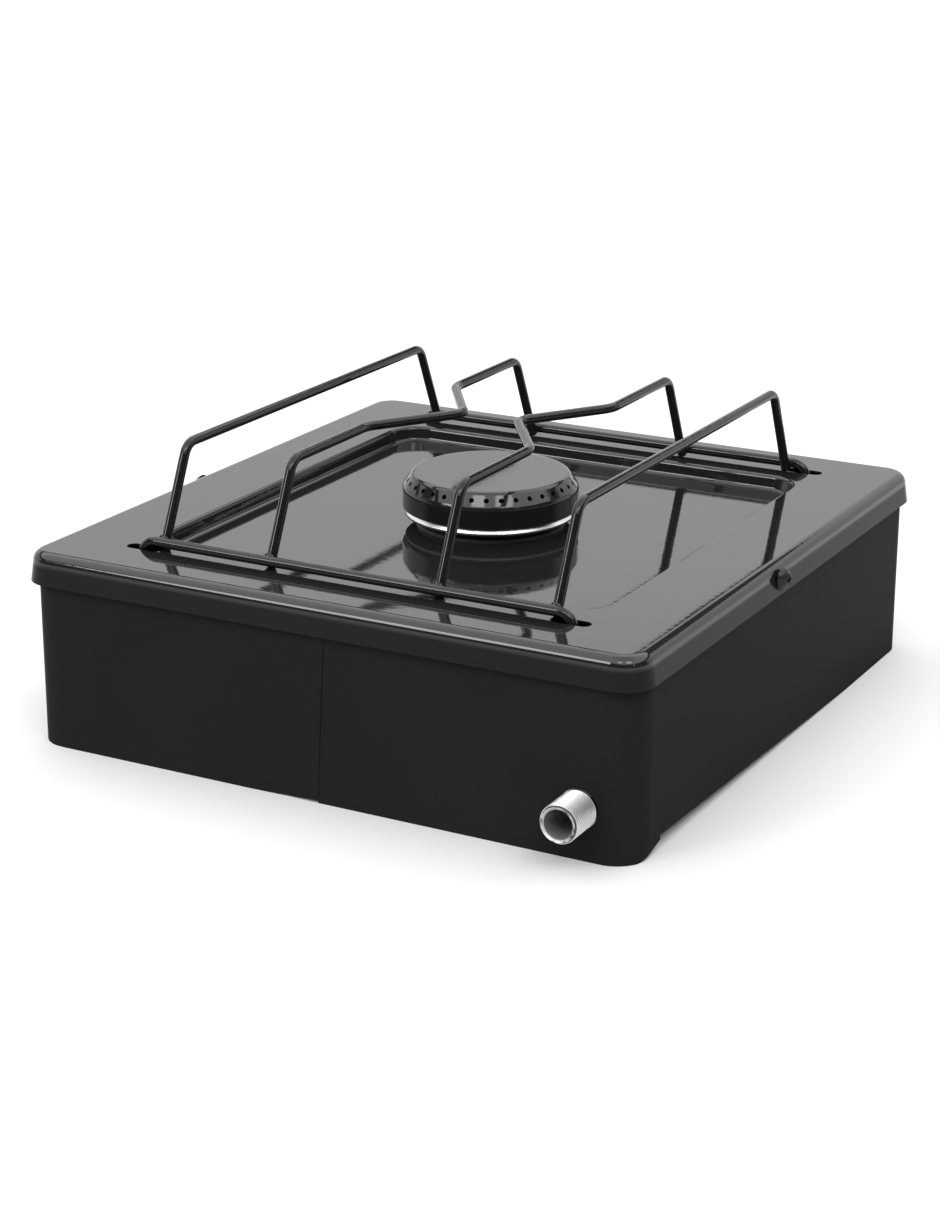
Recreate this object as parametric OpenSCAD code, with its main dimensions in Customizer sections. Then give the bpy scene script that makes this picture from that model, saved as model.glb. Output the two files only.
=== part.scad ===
// One-burner enamelled camping stove: a pressed hob over a wrapped sheet case,
// a lift-off wire pan support, a ported burner cap and a single gas tap.
// Millimetres, +Z up, front (knob) towards -Y, gas inlet at the rear (+Y).
// Origin: centre of the footprint, at the height the case stands on.

/* [Hob] */
// Width of the hob across its skirt
hob_w = 298; // [290:1:340]
// Depth of the hob across its skirt, front to rear
hob_d = 315; // [305:1:370]
// Height of the hob surface above the table
hob_h = 88.5; // [86:0.5:106]
// Height of the skirt below the hob surface
skirt_h = 13.8; // [12:0.1:16]
// How far the skirt leans out from fold to lower edge
skirt_flare = 1.3; // [0.6:0.1:1.5]
// Outside radius of the fold along the top edge
fold_r = 5; // [4:0.5:6]
// Corner radius of the skirt in plan
hob_corner_r = 14; // [12:1:24]
// Thickness of the pressed sheet
sheet = 0.8; // [0.6:0.1:1]

/* [Well] */
// Flat border from the skirt edge to the lip of the well, left and right
well_border_x = 39.5; // [36:0.5:46]
// Flat border from the skirt edge to the lip of the well, front and rear
well_border_y = 44.5; // [43:0.5:52]
// Corner radius of the well's lip
well_corner_r = 16; // [12:1:24]
// Depth of the well floor below the border
well_depth = 6.7; // [5:0.1:8]

/* [Case] */
// Clear gap between the case wall and the hob's fold and skirt
wall_gap = 0.3; // [0.3:0.05:0.5]
// Corner radius of the case wall
wall_corner_r = 15; // [14:1:24]
// Width of the folds along the lower edge
hem_w = 8; // [6:0.5:12]
// Rise of the side walls' lower edge at its rear end
side_rise = 6.4; // [2:0.2:8]
// Height that the bare rear corners' lower edge reaches where the side fold ends
bare_rise = 4.4; // [1:0.2:4.4]
// Height of the lower corner cut in the overlapping end of the sheet
lap_cut = 1.6; // [0.8:0.1:2.4]
// How far the overlapping end of the sheet stands out
lap_t = 0.4; // [0.3:0.1:0.8]
// Width of the overlap where the wrapped sheet closes
lap_w = 14; // [10:1:20]

/* [Burner] */
// Outside radius of the burner cap
cap_r = 40.3; // [36:0.1:43]
// Radius of the flat top of the cap
cap_top_r = 35.8; // [32:0.1:38.5]
// Height of the cap from its lower edge to its top
cap_h = 15.6; // [14:0.1:17]
// Height of the cap's upright side
cap_side_h = 9.2; // [8:0.1:10]
// Number of flame ports around the shoulder
port_count = 36; // [24:2:40]
// Diameter of one flame port
port_d = 2.3; // [1.6:0.1:2.6]
// Radius of the bright rim under the cap
rim_r = 39; // [37.5:0.1:42]

/* [Pan support] */
// Diameter of the four cross wires
wire_d = 4.4; // [4:0.1:5]
// Diameter of the front and rear bars
bar_d = 4.6; // [4.2:0.1:5.5]
// Distance from the skirt edge in to the outer wires
outer_inset = 53.8; // [51:0.1:59]
// Distance from the hob centre to the inner wires
inner_x = 41; // [38:0.1:48]
// Distance from the skirt edge in to the front and rear bars
bar_inset = 31.5; // [28:0.1:33.5]
// Clear gap between the bars and the hob surface
bar_gap = 1.2; // [1:0.1:2]
// Height of the wires' centre line above the hob surface
wire_rise = 42.7; // [36:0.1:48]
// Inward lean of each leg from bar to top
leg_lean = 18.2; // [12:0.1:22]
// Distance from the burner centre to the points of the two kinks
kink_x = 13.6; // [8:0.1:20]
// Half length of each kink, front to rear
kink_y = 41; // [30:0.5:50]

/* [Gas inlet] */
// Outside diameter of the threaded stub, thread size G 3/8
inlet_d = 16.66; // [16.66]
// Pitch of the thread
inlet_pitch = 1.337; // [1.337]
// Bore of the stub
inlet_bore_d = 12.6; // [11:0.1:13]
// Distance from the hob centre to the stub
inlet_x = 122; // [110:0.5:124]
// Height of the stub above the table
inlet_z = 22; // [18:0.5:30]
// Length of the stub outside the wall
inlet_l = 18.7; // [15:0.1:20]

/* [Tap and knob] */
// Height of the tap above the table
tap_z = 40; // [38:0.5:44]
// Radius of the knob
knob_r = 19; // [17:0.5:20]
// Travel of the knob when it is pushed in
push = 3; // [2:0.1:3]
// Radius of the spindle
spindle_r = 4; // [3:0.1:4.2]
// Running clearance of turning parts, on the radius
run_gap = 0.05; // [0.02:0.01:0.1]

/* [Side screws] */
// Diameter of the screw head
screw_head_d = 10.5; // [9:0.1:11]
// Height of the domed screw head
screw_head_h = 3.8; // [3:0.1:4.5]
// Distance of the screws behind the middle of the side
screw_y = 14; // [0:0.5:30]

/* [Hidden] */
$fn = 64;

enamel = "#1c1c1e";
case_black = "#232325";
support_black = "#2a2a2c";
zinc = "#c4c6c8";
brass = "#c9a24a";
alloy = "#d0d2d4";
knob_black = "#161616";

past = 1;                              // how far a cutter runs past a face
join_bead = 0.02;                      // how far a join stands proud of a rod
bead_turn = 90;                        // keeps a bead's seam off the rod's seam
hx = hob_w / 2;
hy = hob_d / 2;
skirt_low = hob_h - skirt_h;
fold_z = hob_h - fold_r;               // height of the centre of the top fold
well_z = hob_h - well_depth;           // height of the well floor

// Well: outline of the lip, and the S-shaped wall down to the floor
lip_x = hx - well_border_x;
lip_y = hy - well_border_y;
lip_r = 2;                             // radius of both bends of the wall
lip_turn = 75;                         // steepest slope of the wall, degrees
lip_drop = lip_r * (1 - cos(lip_turn));
wall_run = 2 * lip_r * sin(lip_turn) + (well_depth - 2 * lip_drop) / tan(lip_turn);

// Case wall
hem_end = 20;                          // bare corner length beyond each hem
wall_inset = skirt_flare + sheet + wall_gap;
wx = hx - wall_inset;                  // outer faces of the walls
wy = hy - wall_inset;
wall_in_y = wy - sheet;                // inner face of front and rear walls
wall_fold_r = fold_r - sheet - wall_gap;
wall_top = fold_z + wall_fold_r;
wall_flange = 6;                       // width of the flange under the hob
side_cut_rear = wy - wall_corner_r - hem_end / 2;
bare_end = wy - wall_corner_r / 2;     // where a bare corner's edge reaches the table
side_cut_front = -wy / 2;
lap_x = -3;                            // where the overlap's free edge lies
lap_lean = 2;                          // how far that edge leans, each way
lap_cut_l = 32;                        // length of the wedge beside the overlap
lap_top = skirt_low + 2;                // hidden behind the skirt

// Burner
neck_r = 31;
neck_gap = 0.4;
foot_r = 34;
foot_t = 1.6;
rim_t = 3.2;
rim_slope = 1.4;                       // how far the rim leans in over its height
cap_seat = 0.3;                        // clear gap between rim and cap
cap_z = hob_h + 1.9;                   // height of the cap's lower edge
rim_z = cap_z - cap_seat;
cup_r = 28;
cup_floor = 62;
cup_floor_t = 4;
riser_r = 12;
tube_r = 9;
tube_wall = 0.8;
tube_back = 14;                        // how deep the tube sits in the elbow
elbow_l = 34;
nut_t = 4;
nut_r = 38;
cap_wall = 2;
cap_top_round = 2.6;
cap_side_round = 3.6;
spigot_r = cup_r - 0.4;
spigot_wall = 2;
spigot_drop = 6.4;
spigot_windows = 6;

// Pan support
outer_x = hx - outer_inset;
bar_y = hy - bar_inset;
bar_z = hob_h + bar_gap + bar_d / 2;
wire_z = hob_h + wire_rise;
lean_angle = atan(leg_lean / (wire_z - bar_z));
weld = 0.3;                            // depth that a leg sinks into a bar
leg_y = bar_y - ((wire_d + bar_d) / 2 - weld) / cos(lean_angle);
foot_clear = 0.3;
foot_z = hob_h + foot_clear + wire_d / 2 * sin(lean_angle);
foot_y = leg_y + (bar_z - foot_z) * tan(lean_angle);
crown_y = leg_y - leg_lean;
bend_r = 8;
kink_bend_r = 14;
tip_bend_r = 8;
bar_bend_r = 7;
bar_end_x = outer_x + 9.3;
bar_end_z = hob_h - 12;
slot_l = 18;
slot_w = 6.8;
slot_x = bar_end_x - 1.2;

// Gas path
tap_wall_y = -wall_in_y;
flange_t = 3;
tap_r = 11;
tap_l = 36;
tap_back_y = tap_wall_y + tap_l;
plug_r = 7;
plug_front_y = tap_wall_y + 4;
plug_back_y = tap_back_y - 6;
port_y = tap_wall_y + 23.5;            // where the gas enters the tap
tap_boss_x = 26;
tap_boss_r = 7;
tap_ear_w = 6;                         // metal beyond each screw of the tap's flange
tap_flange_h = 16;
plug_gap = 0.3;                        // behind the plug
pipe_nut_l = 8;
pipe_nut_flats = 15;
jet_passage_r = 2;
cross_port_r = 1.6;                    // side port of the plug, narrower than its bore
injector_y = tap_back_y - 4;
injector_l = 14;
injector_r = 3;
jet_r = 0.4;
jet_gap = 3;                           // open air between the injector and the tube
pipe_r = 4;
pipe_bore_r = 3;
pipe_turn_r = 20;
pipe_lift_r = (tap_z - inlet_z) / 2;
bend_play = 0.01;                      // straight left between two bends
pipe_lift_x = 60;
pipe_start_y = wall_in_y - 14;
inlet_crest = inlet_d / 2;
inlet_root = inlet_crest - 0.64 * inlet_pitch;
inlet_gap = 0.3;                       // around the thread, in the wall's hole
thread_start_y = wy + inlet_gap;
collar_t = 6;
collar_flats = 22;
bracket_t = 1.5;
bracket_w = 34;
bracket_h = 24;
bracket_edge = 5;                      // how far the bracket passes the stub's axis
stub_tail_r = 6;
stub_floor = 4;                        // wall thickness left in front of the wide bore
pipe_seat = 4;                         // how deep the pipe sits in each fitting
mouth_bevel = 0.9;
tap_screw_x = 15;
tap_screw_r = 2;
tap_screw_hole_r = 2.3;
tap_head_r = 3.5;
tap_head_t = 1.2;

// Knob
dial_t = 1;
push_spare = 0.5;                      // left behind the knob when it is pushed in
spindle_hole_gap = 1;
screw_window_gap = 0.5;
dial_r = 24;
wall_out_y = -wy;
knob_front_y = wall_out_y - inlet_l;
knob_back_y = wall_out_y - dial_t - push - push_spare;
knob_skirt_t = 4;
grip_w = 11;
pointer_w = 1.2;
spindle_front_y = knob_front_y + 4;
spindle_back_y = plug_front_y + 12;
flat_off = 0.75;                       // spindle flat, share of its radius

// Side screws
screw_r = 2.4;
screw_hole_r = 2.7;
screw_z = hob_h - 6.6;
screw_seat_x = hx - 0.2;
screw_in = 9;
clip_t = 3;
clip_w = 7;
bend_clear = 0.9;                      // room for the bend of the wall behind a nut

// ---------- helpers ----------

// A plane sector of a ring, from radius r0 to r1 and angle a0 to a1
module sector(r0, r1, a0, a1) {
    reach = 3 * r1;
    intersection() {
        difference() {
            circle(r = r1);
            circle(r = r0);
        }
        polygon([[0, 0], reach * [cos(a0), sin(a0)], reach * [cos(a1), sin(a1)]]);
    }
}

// A rectangle with round corners, given its half sizes
module round_rect(x, y, r) {
    square([2 * x, 2 * (y - r)], center = true);
    square([2 * (x - r), 2 * y], center = true);
    for (sx = [-1, 1], sy = [-1, 1])
        translate([sx * (x - r), sy * (y - r)])
            circle(r = r);
}

// Sweeps a profile around a rectangle with round corners. The profile's x is
// the distance out from the corner centres, which lie at +-cx, +-cy.
module around(cx, cy) {
    corner = [[cx, cy], [-cx, cy], [-cx, -cy], [cx, -cy]];
    for (k = [0:3])
        translate(corner[k])
            rotate([0, 0, 90 * k])
                rotate_extrude(angle = 90)
                    children();
    for (s = [0, 1])
        mirror([s, 0, 0])
            translate([cx, 0, 0])
                rotate([90, 0, 0])
                    linear_extrude(height = 2 * cy, center = true)
                        children();
    for (s = [0, 1])
        mirror([0, s, 0])
            rotate([0, 0, 90])
                translate([cy, 0, 0])
                    rotate([90, 0, 0])
                        linear_extrude(height = 2 * cx, center = true)
                            children();
}

function unit(v) = v / norm(v);
function turn(a, b) = acos(min(1, max(-1, a * b)));

// Turns what follows so that its Z axis points along d, and moves it to p
module aim(p, d) {
    translate(p)
        rotate([0, acos(d.z / norm(d)), atan2(d.y, d.x)])
            children();
}

// A straight rod between two points
module rod(a, b, r) {
    aim(a, b - a)
        cylinder(h = norm(b - a), r = r);
}

// A bend that starts at p along direction a and leaves along direction b
module bend(p, a, b, bend_radius, r) {
    inward = unit(b - a * (a * b));
    centre = p + bend_radius * inward;
    up = cross(-inward, a);
    multmatrix([[-inward.x, a.x, up.x, centre.x],
                [-inward.y, a.y, up.y, centre.y],
                [-inward.z, a.z, up.z, centre.z]])
        rotate_extrude(angle = turn(a, b))
            translate([bend_radius, 0])
                circle(r = r);
}

// A rod bent at each inner point of a path, with one bend radius per point.
// A bead a hair wider than the rod closes each join between a straight and a bend.
module bent_rod(path, radii, r) {
    n = len(path);
    dir = [for (i = [0:n - 2]) unit(path[i + 1] - path[i])];
    cut = [for (i = [0:n - 1])
              i == 0 || i == n - 1 ? 0 : radii[i - 1] * tan(turn(dir[i - 1], dir[i]) / 2)];
    for (i = [0:n - 2])
        rod(path[i] + cut[i] * dir[i], path[i + 1] - cut[i + 1] * dir[i], r);
    for (i = [1:n - 2]) {
        bend(path[i] - cut[i] * dir[i - 1], dir[i - 1], dir[i], radii[i - 1], r);
        for (d = [dir[i - 1], dir[i]])
            aim(path[i] + cut[i] * (d == dir[i] ? d : -d), d)
                rotate([0, 0, bead_turn])
                    sphere(r = r + join_bead);
    }
}

// A cylinder along Y from y0 to y1
module y_rod(x, y0, y1, z, r) {
    translate([x, min(y0, y1), z])
        rotate([-90, 0, 0])
            cylinder(h = abs(y1 - y0), r = r);
}

// A cylinder along X from x0 to x1
module x_rod(x0, x1, y, z, r) {
    translate([min(x0, x1), y, z])
        rotate([0, 90, 0])
            cylinder(h = abs(x1 - x0), r = r);
}

// A hexagon prism along Y, given its width across flats
module y_hex(x, y0, y1, z, flats) {
    translate([x, min(y0, y1), z])
        rotate([-90, 0, 0])
            cylinder(h = abs(y1 - y0), r = flats / 2 / cos(30), $fn = 6);
}

// ---------- hob ----------

module hob_edge_profile() {
    flat_l = hob_corner_r - skirt_flare - fold_r;
    fold_out = hob_corner_r - skirt_flare;
    translate([0, hob_h - sheet])
        square([flat_l, sheet]);
    translate([flat_l, fold_z])
        sector(fold_r - sheet, fold_r, 0, 90);
    polygon([[fold_out, fold_z], [hob_corner_r, skirt_low],
             [hob_corner_r - sheet, skirt_low], [fold_out - sheet, fold_z]]);
}

module well_wall_profile() {
    foot_x = well_corner_r - wall_run;
    top_x = well_corner_r - lip_r * sin(lip_turn);
    low_x = foot_x + lip_r * sin(lip_turn);
    thick = sheet * [sin(lip_turn), -cos(lip_turn)];
    translate([well_corner_r, hob_h - lip_r])
        sector(lip_r - sheet, lip_r, 90, 90 + lip_turn);
    translate([foot_x, well_z + lip_r])
        sector(lip_r, lip_r + sheet, 270, 270 + lip_turn);
    polygon([[top_x, hob_h - lip_drop], [low_x, well_z + lip_drop],
             [low_x, well_z + lip_drop] + thick, [top_x, hob_h - lip_drop] + thick]);
}

module hob_top() {
    cx = hx - hob_corner_r;
    cy = hy - hob_corner_r;
    well_cx = lip_x - well_corner_r;
    well_cy = lip_y - well_corner_r;
    color(enamel)
    difference() {
        union() {
            around(cx, cy)
                hob_edge_profile();
            translate([0, 0, hob_h - sheet])
                linear_extrude(height = sheet)
                    difference() {
                        square([2 * cx, 2 * cy], center = true);
                        round_rect(lip_x, lip_y, well_corner_r);
                    }
            around(well_cx, well_cy)
                well_wall_profile();
            translate([0, 0, well_z - sheet])
                linear_extrude(height = sheet)
                    round_rect(lip_x - wall_run, lip_y - wall_run, well_corner_r - wall_run);
        }
        translate([0, 0, well_z - sheet - past])
            cylinder(h = sheet + 2 * past, r = neck_r + neck_gap);
        for (sx = [-1, 1], sy = [-1, 1])
            translate([sx * slot_x, sy * bar_y, hob_h - sheet - past])
                linear_extrude(height = sheet + 2 * past)
                    round_rect(slot_l / 2, slot_w / 2, slot_w / 2 - join_bead);
        for (s = [-1, 1])
            x_rod(s * (hx - 2 * fold_r), s * (hx + past), screw_y, screw_z, screw_hole_r);
    }
}

// ---------- case ----------

module wall_profile() {
    translate([wall_corner_r - sheet, 0])
        square([sheet, fold_z]);
    translate([wall_corner_r - wall_fold_r, fold_z])
        sector(wall_fold_r - sheet, wall_fold_r, 0, 90);
    translate([wall_corner_r - wall_fold_r - wall_flange, wall_top - sheet])
        square([wall_flange, sheet]);
}

// The wedges taken off the lower edge of both side walls: a long one under the
// fold, and a short one from the fold's end down to the rear corner
module side_edge_cut() {
    cut_w = wall_corner_r + 2 * past;
    for (s = [0, 1])
        mirror([s, 0, 0])
            translate([wx + past - cut_w, 0, 0])
                rotate([90, 0, 90])
                    linear_extrude(height = cut_w)
                        polygon([[side_cut_front, 0], [side_cut_rear, side_rise],
                                 [side_cut_rear, bare_rise], [bare_end, 0],
                                 [bare_end, -past], [side_cut_front, -past]]);
}

// Inward hem that follows the slanted lower edge of one side wall
module side_hem() {
    run = side_cut_rear - side_cut_front;
    slope = atan(side_rise / run);
    translate([wx - sheet - hem_w, side_cut_front, 0])
        rotate([slope, 0, 0])
            translate([0, hem_w, 0])
                cube([hem_w + sheet / 2, run - hem_w, sheet]);
}

// The free end of the wrapped sheet, lying over the other end at the rear
module lap_strip() {
    translate([0, wy + lap_t, 0])
        rotate([90, 0, 0])
            linear_extrude(height = lap_t + sheet / 2)
                polygon([[lap_x + lap_lean, lap_cut], [lap_x + lap_w, lap_cut],
                         [lap_x + lap_w, lap_top], [lap_x - lap_lean, lap_top]]);
}

// The small wedge missing from the lower edge beside the overlap
module lap_edge_cut() {
    edge_x = lap_x + lap_lean;
    translate([0, wy + past, 0])
        rotate([90, 0, 0])
            linear_extrude(height = hem_w + 2 * past + sheet)
                polygon([[edge_x, -past], [edge_x, lap_cut],
                         [edge_x + lap_cut_l, 0], [edge_x + lap_cut_l, -past]]);
}

module case_wall() {
    cx = wx - wall_corner_r;
    cy = wy - wall_corner_r;
    hem_y = wy - (hem_w + sheet / 2) / 2 - sheet / 2;
    color(case_black)
    difference() {
        union() {
            difference() {
                around(cx, cy)
                    wall_profile();
                side_edge_cut();
            }
            for (s = [-1, 1])
                translate([0, s * hem_y, sheet / 2])
                    cube([2 * (cx - hem_end), hem_w + sheet / 2, sheet], center = true);
            side_hem();
            mirror([1, 0, 0])
                side_hem();
            lap_strip();
        }
        lap_edge_cut();
        y_rod(-inlet_x, wy - 5, wy + past, inlet_z, inlet_d / 2 + inlet_gap);
        y_rod(0, -wy - past, -wall_in_y + past, tap_z, spindle_r + spindle_hole_gap);
        for (s = [-1, 1])
            y_rod(s * tap_screw_x, -wy - past, -wall_in_y + past, tap_z, tap_screw_hole_r);
        for (s = [-1, 1])
            x_rod(s * (wx - 3 * sheet), s * (wx + past), screw_y, screw_z, screw_hole_r);
    }
}

// ---------- burner ----------

module burner_body() {
    elbow_z = tap_z;
    color(alloy)
    difference() {
        union() {
            translate([0, 0, rim_z - rim_t])
                cylinder(h = rim_t / 4, r = rim_r);
            translate([0, 0, rim_z - rim_t * 3 / 4])
                cylinder(h = rim_t * 3 / 4, r1 = rim_r, r2 = rim_r - rim_slope);
            translate([0, 0, cup_floor])
                cylinder(h = rim_z - cup_floor, r = neck_r);
            translate([0, 0, well_z])
                cylinder(h = foot_t, r = foot_r);
            translate([0, 0, elbow_z])
                cylinder(h = cup_floor - elbow_z + past, r = riser_r);
            translate([0, 0, elbow_z])
                sphere(r = riser_r);
            y_rod(0, -elbow_l, 0, elbow_z, riser_r);
        }
        translate([0, 0, cup_floor + cup_floor_t])
            cylinder(h = rim_z, r = cup_r);
        translate([0, 0, elbow_z])
            cylinder(h = cup_floor, r = tube_r - tube_wall);
        y_rod(0, -elbow_l - past, 0, elbow_z, tube_r - tube_wall);
        y_rod(0, -elbow_l - past, -tube_back, elbow_z, tube_r);
    }
}

module burner_nut() {
    color(zinc)
    translate([0, 0, well_z - sheet - nut_t])
        difference() {
            cylinder(h = nut_t, r = nut_r, $fn = 8);
            translate([0, 0, -past])
                cylinder(h = nut_t + 2 * past, r = neck_r);
        }
}

module mixing_tube() {
    mouth_y = injector_y + injector_l + jet_gap;
    flare_l = 8;
    flare_r = 3;
    color(alloy)
    translate([0, mouth_y, tap_z])
        rotate([-90, 0, 0])
            rotate_extrude()
                polygon([[tube_r + flare_r - tube_wall, 0], [tube_r + flare_r, 0],
                         [tube_r, flare_l], [tube_r, -tube_back - mouth_y],
                         [tube_r - tube_wall, -tube_back - mouth_y],
                         [tube_r - tube_wall, flare_l]]);
}

module port_ring() {
    shoulder_h = cap_h - cap_side_h;
    slope = atan(shoulder_h / (cap_r - cap_top_r));
    mid_r = (cap_r + cap_top_r) / 2;
    for (k = [0:port_count - 1])
        rotate([0, 0, 360 * (k + 0.5) / port_count])
            translate([mid_r, 0, cap_z + cap_side_h + shoulder_h / 2])
                rotate([0, slope, 0])
                    translate([0, 0, -2 * cap_wall])
                        cylinder(h = 4 * cap_wall, d = port_d);
}

// Half section of the cap as if solid, with both edges of its shoulder rounded
module cap_outline() {
    run = cap_r - cap_top_r;
    drop = cap_h - cap_side_h;
    fall = atan(drop / run);
    slant = [cos(fall), -sin(fall)];
    top_edge = [cap_top_r, cap_h];
    side_edge = [cap_r, cap_side_h];
    top_cut = cap_top_round * tan(fall / 2);
    side_cut = cap_side_round * tan((90 - fall) / 2);
    polygon([[0, 0], [cap_r, 0], side_edge - [0, side_cut], side_edge - side_cut * slant,
             top_edge + top_cut * slant, top_edge - [top_cut, 0], [0, cap_h]]);
    translate([cap_top_r - top_cut, cap_h - cap_top_round])
        circle(r = cap_top_round);
    translate([cap_r - cap_side_round, cap_side_h - side_cut])
        circle(r = cap_side_round);
}

module burner_cap() {
    window_h = cap_h - cap_wall - cap_top_round;
    color(enamel)
    difference() {
        union() {
            translate([0, 0, cap_z])
                rotate_extrude()
                    difference() {
                        cap_outline();
                        polygon([[0, -past], [cap_r - cap_wall, -past],
                                 [cap_r - cap_wall, cap_side_h - cap_wall / 2],
                                 [cap_top_r - cap_wall / 2, cap_h - cap_wall], [0, cap_h - cap_wall]]);
                    }
            translate([0, 0, cap_z - spigot_drop])
                difference() {
                    cylinder(h = spigot_drop + cap_h - cap_wall / 2, r = spigot_r);
                    translate([0, 0, -past])
                        cylinder(h = spigot_drop + cap_h - cap_wall + past, r = spigot_r - spigot_wall);
                }
        }
        port_ring();
        for (k = [0:spigot_windows / 2 - 1])
            rotate([0, 0, 360 * k / spigot_windows])
                translate([0, 0, cap_z + window_h / 2])
                    cube([2 * spigot_r + past, spigot_r / 2, window_h - cap_wall], center = true);
    }
}

// ---------- gas path ----------

module gas_inlet() {
    mouth_y = wy + inlet_l;
    collar_y = wall_in_y - bracket_t;
    crest_from = 0.38 * inlet_pitch;
    crest_to = 0.62 * inlet_pitch;
    ridges = floor((mouth_y - mouth_bevel - thread_start_y) / inlet_pitch);
    color(zinc)
    difference() {
        union() {
            y_rod(-inlet_x, collar_y - past, mouth_y, inlet_z, inlet_root);
            translate([-inlet_x, thread_start_y, inlet_z])
                rotate([-90, 0, 0])
                    for (k = [0:ridges - 1])
                        translate([0, 0, k * inlet_pitch])
                            rotate_extrude()
                                polygon([[inlet_root - mouth_bevel / 4, 0], [inlet_root, 0],
                                         [inlet_crest, crest_from], [inlet_crest, crest_to],
                                         [inlet_root, inlet_pitch],
                                         [inlet_root - mouth_bevel / 4, inlet_pitch]]);
            y_hex(-inlet_x, collar_y - collar_t, collar_y, inlet_z, collar_flats);
            y_rod(-inlet_x, pipe_start_y, collar_y - collar_t, inlet_z, stub_tail_r);
        }
        y_rod(-inlet_x, wall_in_y - stub_floor, mouth_y + past, inlet_z, inlet_bore_d / 2);
        y_rod(-inlet_x, pipe_start_y - past, wall_in_y, inlet_z, pipe_bore_r);
        y_rod(-inlet_x, pipe_start_y - past, pipe_start_y + pipe_seat, inlet_z, pipe_r);
        translate([-inlet_x, mouth_y - mouth_bevel, inlet_z])
            rotate([-90, 0, 0])
                cylinder(h = mouth_bevel + join_bead, r1 = inlet_bore_d / 2,
                         r2 = inlet_bore_d / 2 + mouth_bevel);
    }
}

module inlet_bracket() {
    color(zinc)
    difference() {
        translate([-inlet_x - bracket_edge, wall_in_y - bracket_t, inlet_z - bracket_h / 2])
            cube([bracket_w, bracket_t, bracket_h]);
        y_rod(-inlet_x, wall_in_y - bracket_t - past, wy, inlet_z, inlet_root);
    }
}

module gas_pipe() {
    color(zinc)
    difference() {
        pipe_run(pipe_r);
        pipe_run(pipe_bore_r);
    }
}

// The pipe's route: forward along the left side, across, up, and to the tap
module pipe_run(r) {
    path = [[-inlet_x, pipe_start_y + pipe_seat, inlet_z], [-inlet_x, port_y, inlet_z],
            [-pipe_lift_x, port_y, inlet_z], [-pipe_lift_x, port_y, tap_z],
            [-tap_boss_x + pipe_seat, port_y, tap_z]];
    bent_rod(path, [pipe_turn_r, pipe_lift_r - bend_play, pipe_lift_r - bend_play], r);
}

module pipe_nuts() {
    color(brass)
    union() {
        difference() {
            y_hex(-inlet_x, pipe_start_y - pipe_nut_l, pipe_start_y, inlet_z, pipe_nut_flats);
            y_rod(-inlet_x, pipe_start_y - pipe_nut_l - past, pipe_start_y + past, inlet_z, pipe_r);
        }
        difference() {
            translate([-tap_boss_x - pipe_nut_l, port_y, tap_z])
                rotate([0, 90, 0])
                    cylinder(h = pipe_nut_l, r = pipe_nut_flats / 2 / cos(30), $fn = 6);
            x_rod(-tap_boss_x - pipe_nut_l - past, -tap_boss_x + past, port_y, tap_z, pipe_r);
        }
    }
}

module tap_body() {
    flange_w = 2 * (tap_screw_x + tap_ear_w);
    color(brass)
    difference() {
        union() {
            y_rod(0, tap_wall_y, tap_back_y, tap_z, tap_r);
            translate([-flange_w / 2, tap_wall_y, tap_z - tap_flange_h / 2])
                cube([flange_w, flange_t, tap_flange_h]);
            x_rod(-tap_boss_x, 0, port_y, tap_z, tap_boss_r);
        }
        y_rod(0, tap_wall_y - past, plug_back_y, tap_z, plug_r + run_gap);
        y_rod(0, plug_back_y - past, tap_back_y + past, tap_z, jet_passage_r);
        y_rod(0, injector_y, tap_back_y + past, tap_z, injector_r);
        x_rod(-tap_boss_x - past, 0, port_y, tap_z, jet_passage_r);
        x_rod(-tap_boss_x - past, -tap_boss_x + pipe_seat, port_y, tap_z, pipe_r);
        for (s = [-1, 1])
            y_rod(s * tap_screw_x, tap_wall_y - past, tap_wall_y + flange_t + past, tap_z, tap_screw_r);
    }
}

module tap_screws() {
    slot_d = tap_head_t / 2;
    color(zinc)
    for (s = [-1, 1])
        difference() {
            union() {
                y_rod(s * tap_screw_x, wall_out_y - tap_head_t, wall_out_y, tap_z, tap_head_r);
                y_rod(s * tap_screw_x, wall_out_y - tap_head_t / 2, tap_wall_y + flange_t + 2,
                      tap_z, tap_screw_r);
            }
            translate([s * tap_screw_x, wall_out_y - tap_head_t, tap_z])
                cube([1.5 * tap_head_r, 2 * slot_d, slot_d * 1.6], center = true);
        }
}

module injector() {
    hex_l = 4;
    jet_tip_l = 2;
    tip_y = injector_y + injector_l;
    color(brass)
    difference() {
        union() {
            y_rod(0, injector_y, tap_back_y + past, tap_z, injector_r);
            y_hex(0, tap_back_y, tap_back_y + hex_l, tap_z, 2.7 * injector_r);
            y_rod(0, tap_back_y, tip_y, tap_z, 0.83 * injector_r);
        }
        y_rod(0, injector_y - past, tip_y - jet_tip_l, tap_z, injector_r / 2);
        y_rod(0, injector_y, tip_y + past, tap_z, jet_r);
    }
}

module tap_plug() {
    color(brass)
    difference() {
        y_rod(0, plug_front_y, plug_back_y - plug_gap, tap_z, plug_r);
        y_rod(0, plug_front_y - past, spindle_back_y + push + push_spare, tap_z, spindle_r + run_gap);
        y_rod(0, port_y - jet_passage_r, plug_back_y, tap_z, jet_passage_r);
        translate([0, port_y, tap_z])
            cylinder(h = plug_r + past, r = cross_port_r);
    }
}

// A round bar along Y with one flat, from the tap into the knob
module d_bar(y0, y1, r) {
    difference() {
        y_rod(0, y0, y1, tap_z, r);
        translate([-2 * r, min(y0, y1) - past, tap_z + flat_off * r])
            cube([4 * r, abs(y1 - y0) + 2 * past, 2 * r]);
    }
}

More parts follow.
